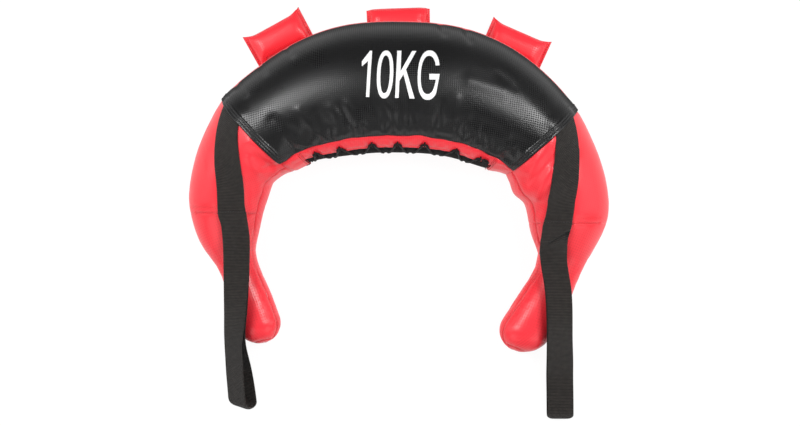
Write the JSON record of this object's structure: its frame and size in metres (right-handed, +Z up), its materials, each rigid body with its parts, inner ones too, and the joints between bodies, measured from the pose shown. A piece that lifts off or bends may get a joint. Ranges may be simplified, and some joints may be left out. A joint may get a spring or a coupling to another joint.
{
  "type": "bulgarian bag",
  "caption": "Crescent-shaped sand-filled training bag of red and black vinyl, with stuffed end grips, sewn webbing loops, padded top grips and a laced inner rim.",
  "frame": {"origin": "middle of the bag's outline at the height of the floor it lies on", "axes": "+Z up through the black front panel, +Y to the crest of the crescent, +X to the right-hand grip"},
  "size_m": [0.6085, 0.6102, 0.15],
  "materials": {
    "red_vinyl": "half-gloss vinyl with a fine woven grid",
    "black_vinyl": "half-gloss vinyl with a fine woven grid",
    "black_webbing": "ribbed polyester webbing, matt",
    "black_cord": "braided polyester, matt",
    "sand_bag": "close-woven cloth filled with dry sand",
    "wadding": "felted fibre",
    "foam": "firm foam"
  },
  "bodies": {
    "bag": {"front_center_panel": "black_vinyl", "lacing_flap_front": "red_vinyl", "lacing_flap_back": "red_vinyl", "inner_gusset_left": "red_vinyl", "inner_gusset_right": "red_vinyl", "back_center_panel": "red_vinyl", "left_arm_front_panel": "red_vinyl", "left_arm_back_panel": "red_vinyl", "right_arm_front_panel": "red_vinyl", "right_arm_back_panel": "red_vinyl", "left_grip_front_panel": "red_vinyl", "left_grip_back_panel": "red_vinyl", "right_grip_front_panel": "red_vinyl", "right_grip_back_panel": "red_vinyl", "tongue": "black_vinyl", "wadding_sleeve": "wadding", "sand_bag_1": "sand_bag", "sand_bag_2": "sand_bag", "sand_bag_3": "sand_bag", "sand_bag_4": "sand_bag", "grip_foam_left": "foam", "grip_foam_right": "foam", "left_strap_anchor": "black_webbing", "right_strap_anchor": "black_webbing", "lace": "black_cord", "lace_loop_front_1": "black_cord", "lace_loop_front_2": "black_cord", "lace_loop_front_3": "black_cord", "lace_loop_front_4": "black_cord", "lace_loop_front_5": "black_cord", "lace_loop_front_6": "black_cord", "lace_loop_front_7": "black_cord", "lace_loop_back_1": "black_cord", "lace_loop_back_2": "black_cord", "lace_loop_back_3": "black_cord", "lace_loop_back_4": "black_cord", "lace_loop_back_5": "black_cord", "lace_loop_back_6": "black_cord", "lace_loop_back_7": "black_cord", "lace_knot_left": "black_cord", "lace_knot_right": "black_cord"},
    "left_strap": {"left_strap_loop": "black_webbing"},
    "right_strap": {"right_strap_loop": "black_webbing"},
    "top_grip_left": {"top_grip_sleeve_left": "red_vinyl", "top_grip_foam_left": "foam"},
    "top_grip_center": {"top_grip_sleeve_center": "red_vinyl", "top_grip_foam_center": "foam"},
    "top_grip_right": {"top_grip_sleeve_right": "red_vinyl", "top_grip_foam_right": "foam"}
  },
  "joints": [
    {"name": "left_strap_swing", "type": "hinge", "parent": "bag", "child": "left_strap", "pos_m": [-0.23816, -0.00218, 0.093], "axis": [-0.966, 0.0063, 0.2586], "range_deg": [0, 150]},
    {"name": "right_strap_swing", "type": "hinge", "parent": "bag", "child": "right_strap", "pos_m": [0.22686, -0.01655, 0.09911], "axis": [-0.9168, 0.0019, -0.3994], "range_deg": [0, 150]},
    {"name": "top_grip_left_flop", "type": "hinge", "parent": "bag", "child": "top_grip_left", "pos_m": [-0.15166, 0.21182, 0.0022], "axis": [0.8783, 0.478, 0], "range_deg": [-75, 22]},
    {"name": "top_grip_center_flop", "type": "hinge", "parent": "bag", "child": "top_grip_center", "pos_m": [0.001, 0.2447, 0.0022], "axis": [0.9995, 0.0332, 0], "range_deg": [-75, 3]},
    {"name": "top_grip_right_flop", "type": "hinge", "parent": "bag", "child": "top_grip_right", "pos_m": [0.15642, 0.20857, 0.0022], "axis": [0.9173, -0.3982, 0], "range_deg": [-75, 8]}
  ]
}
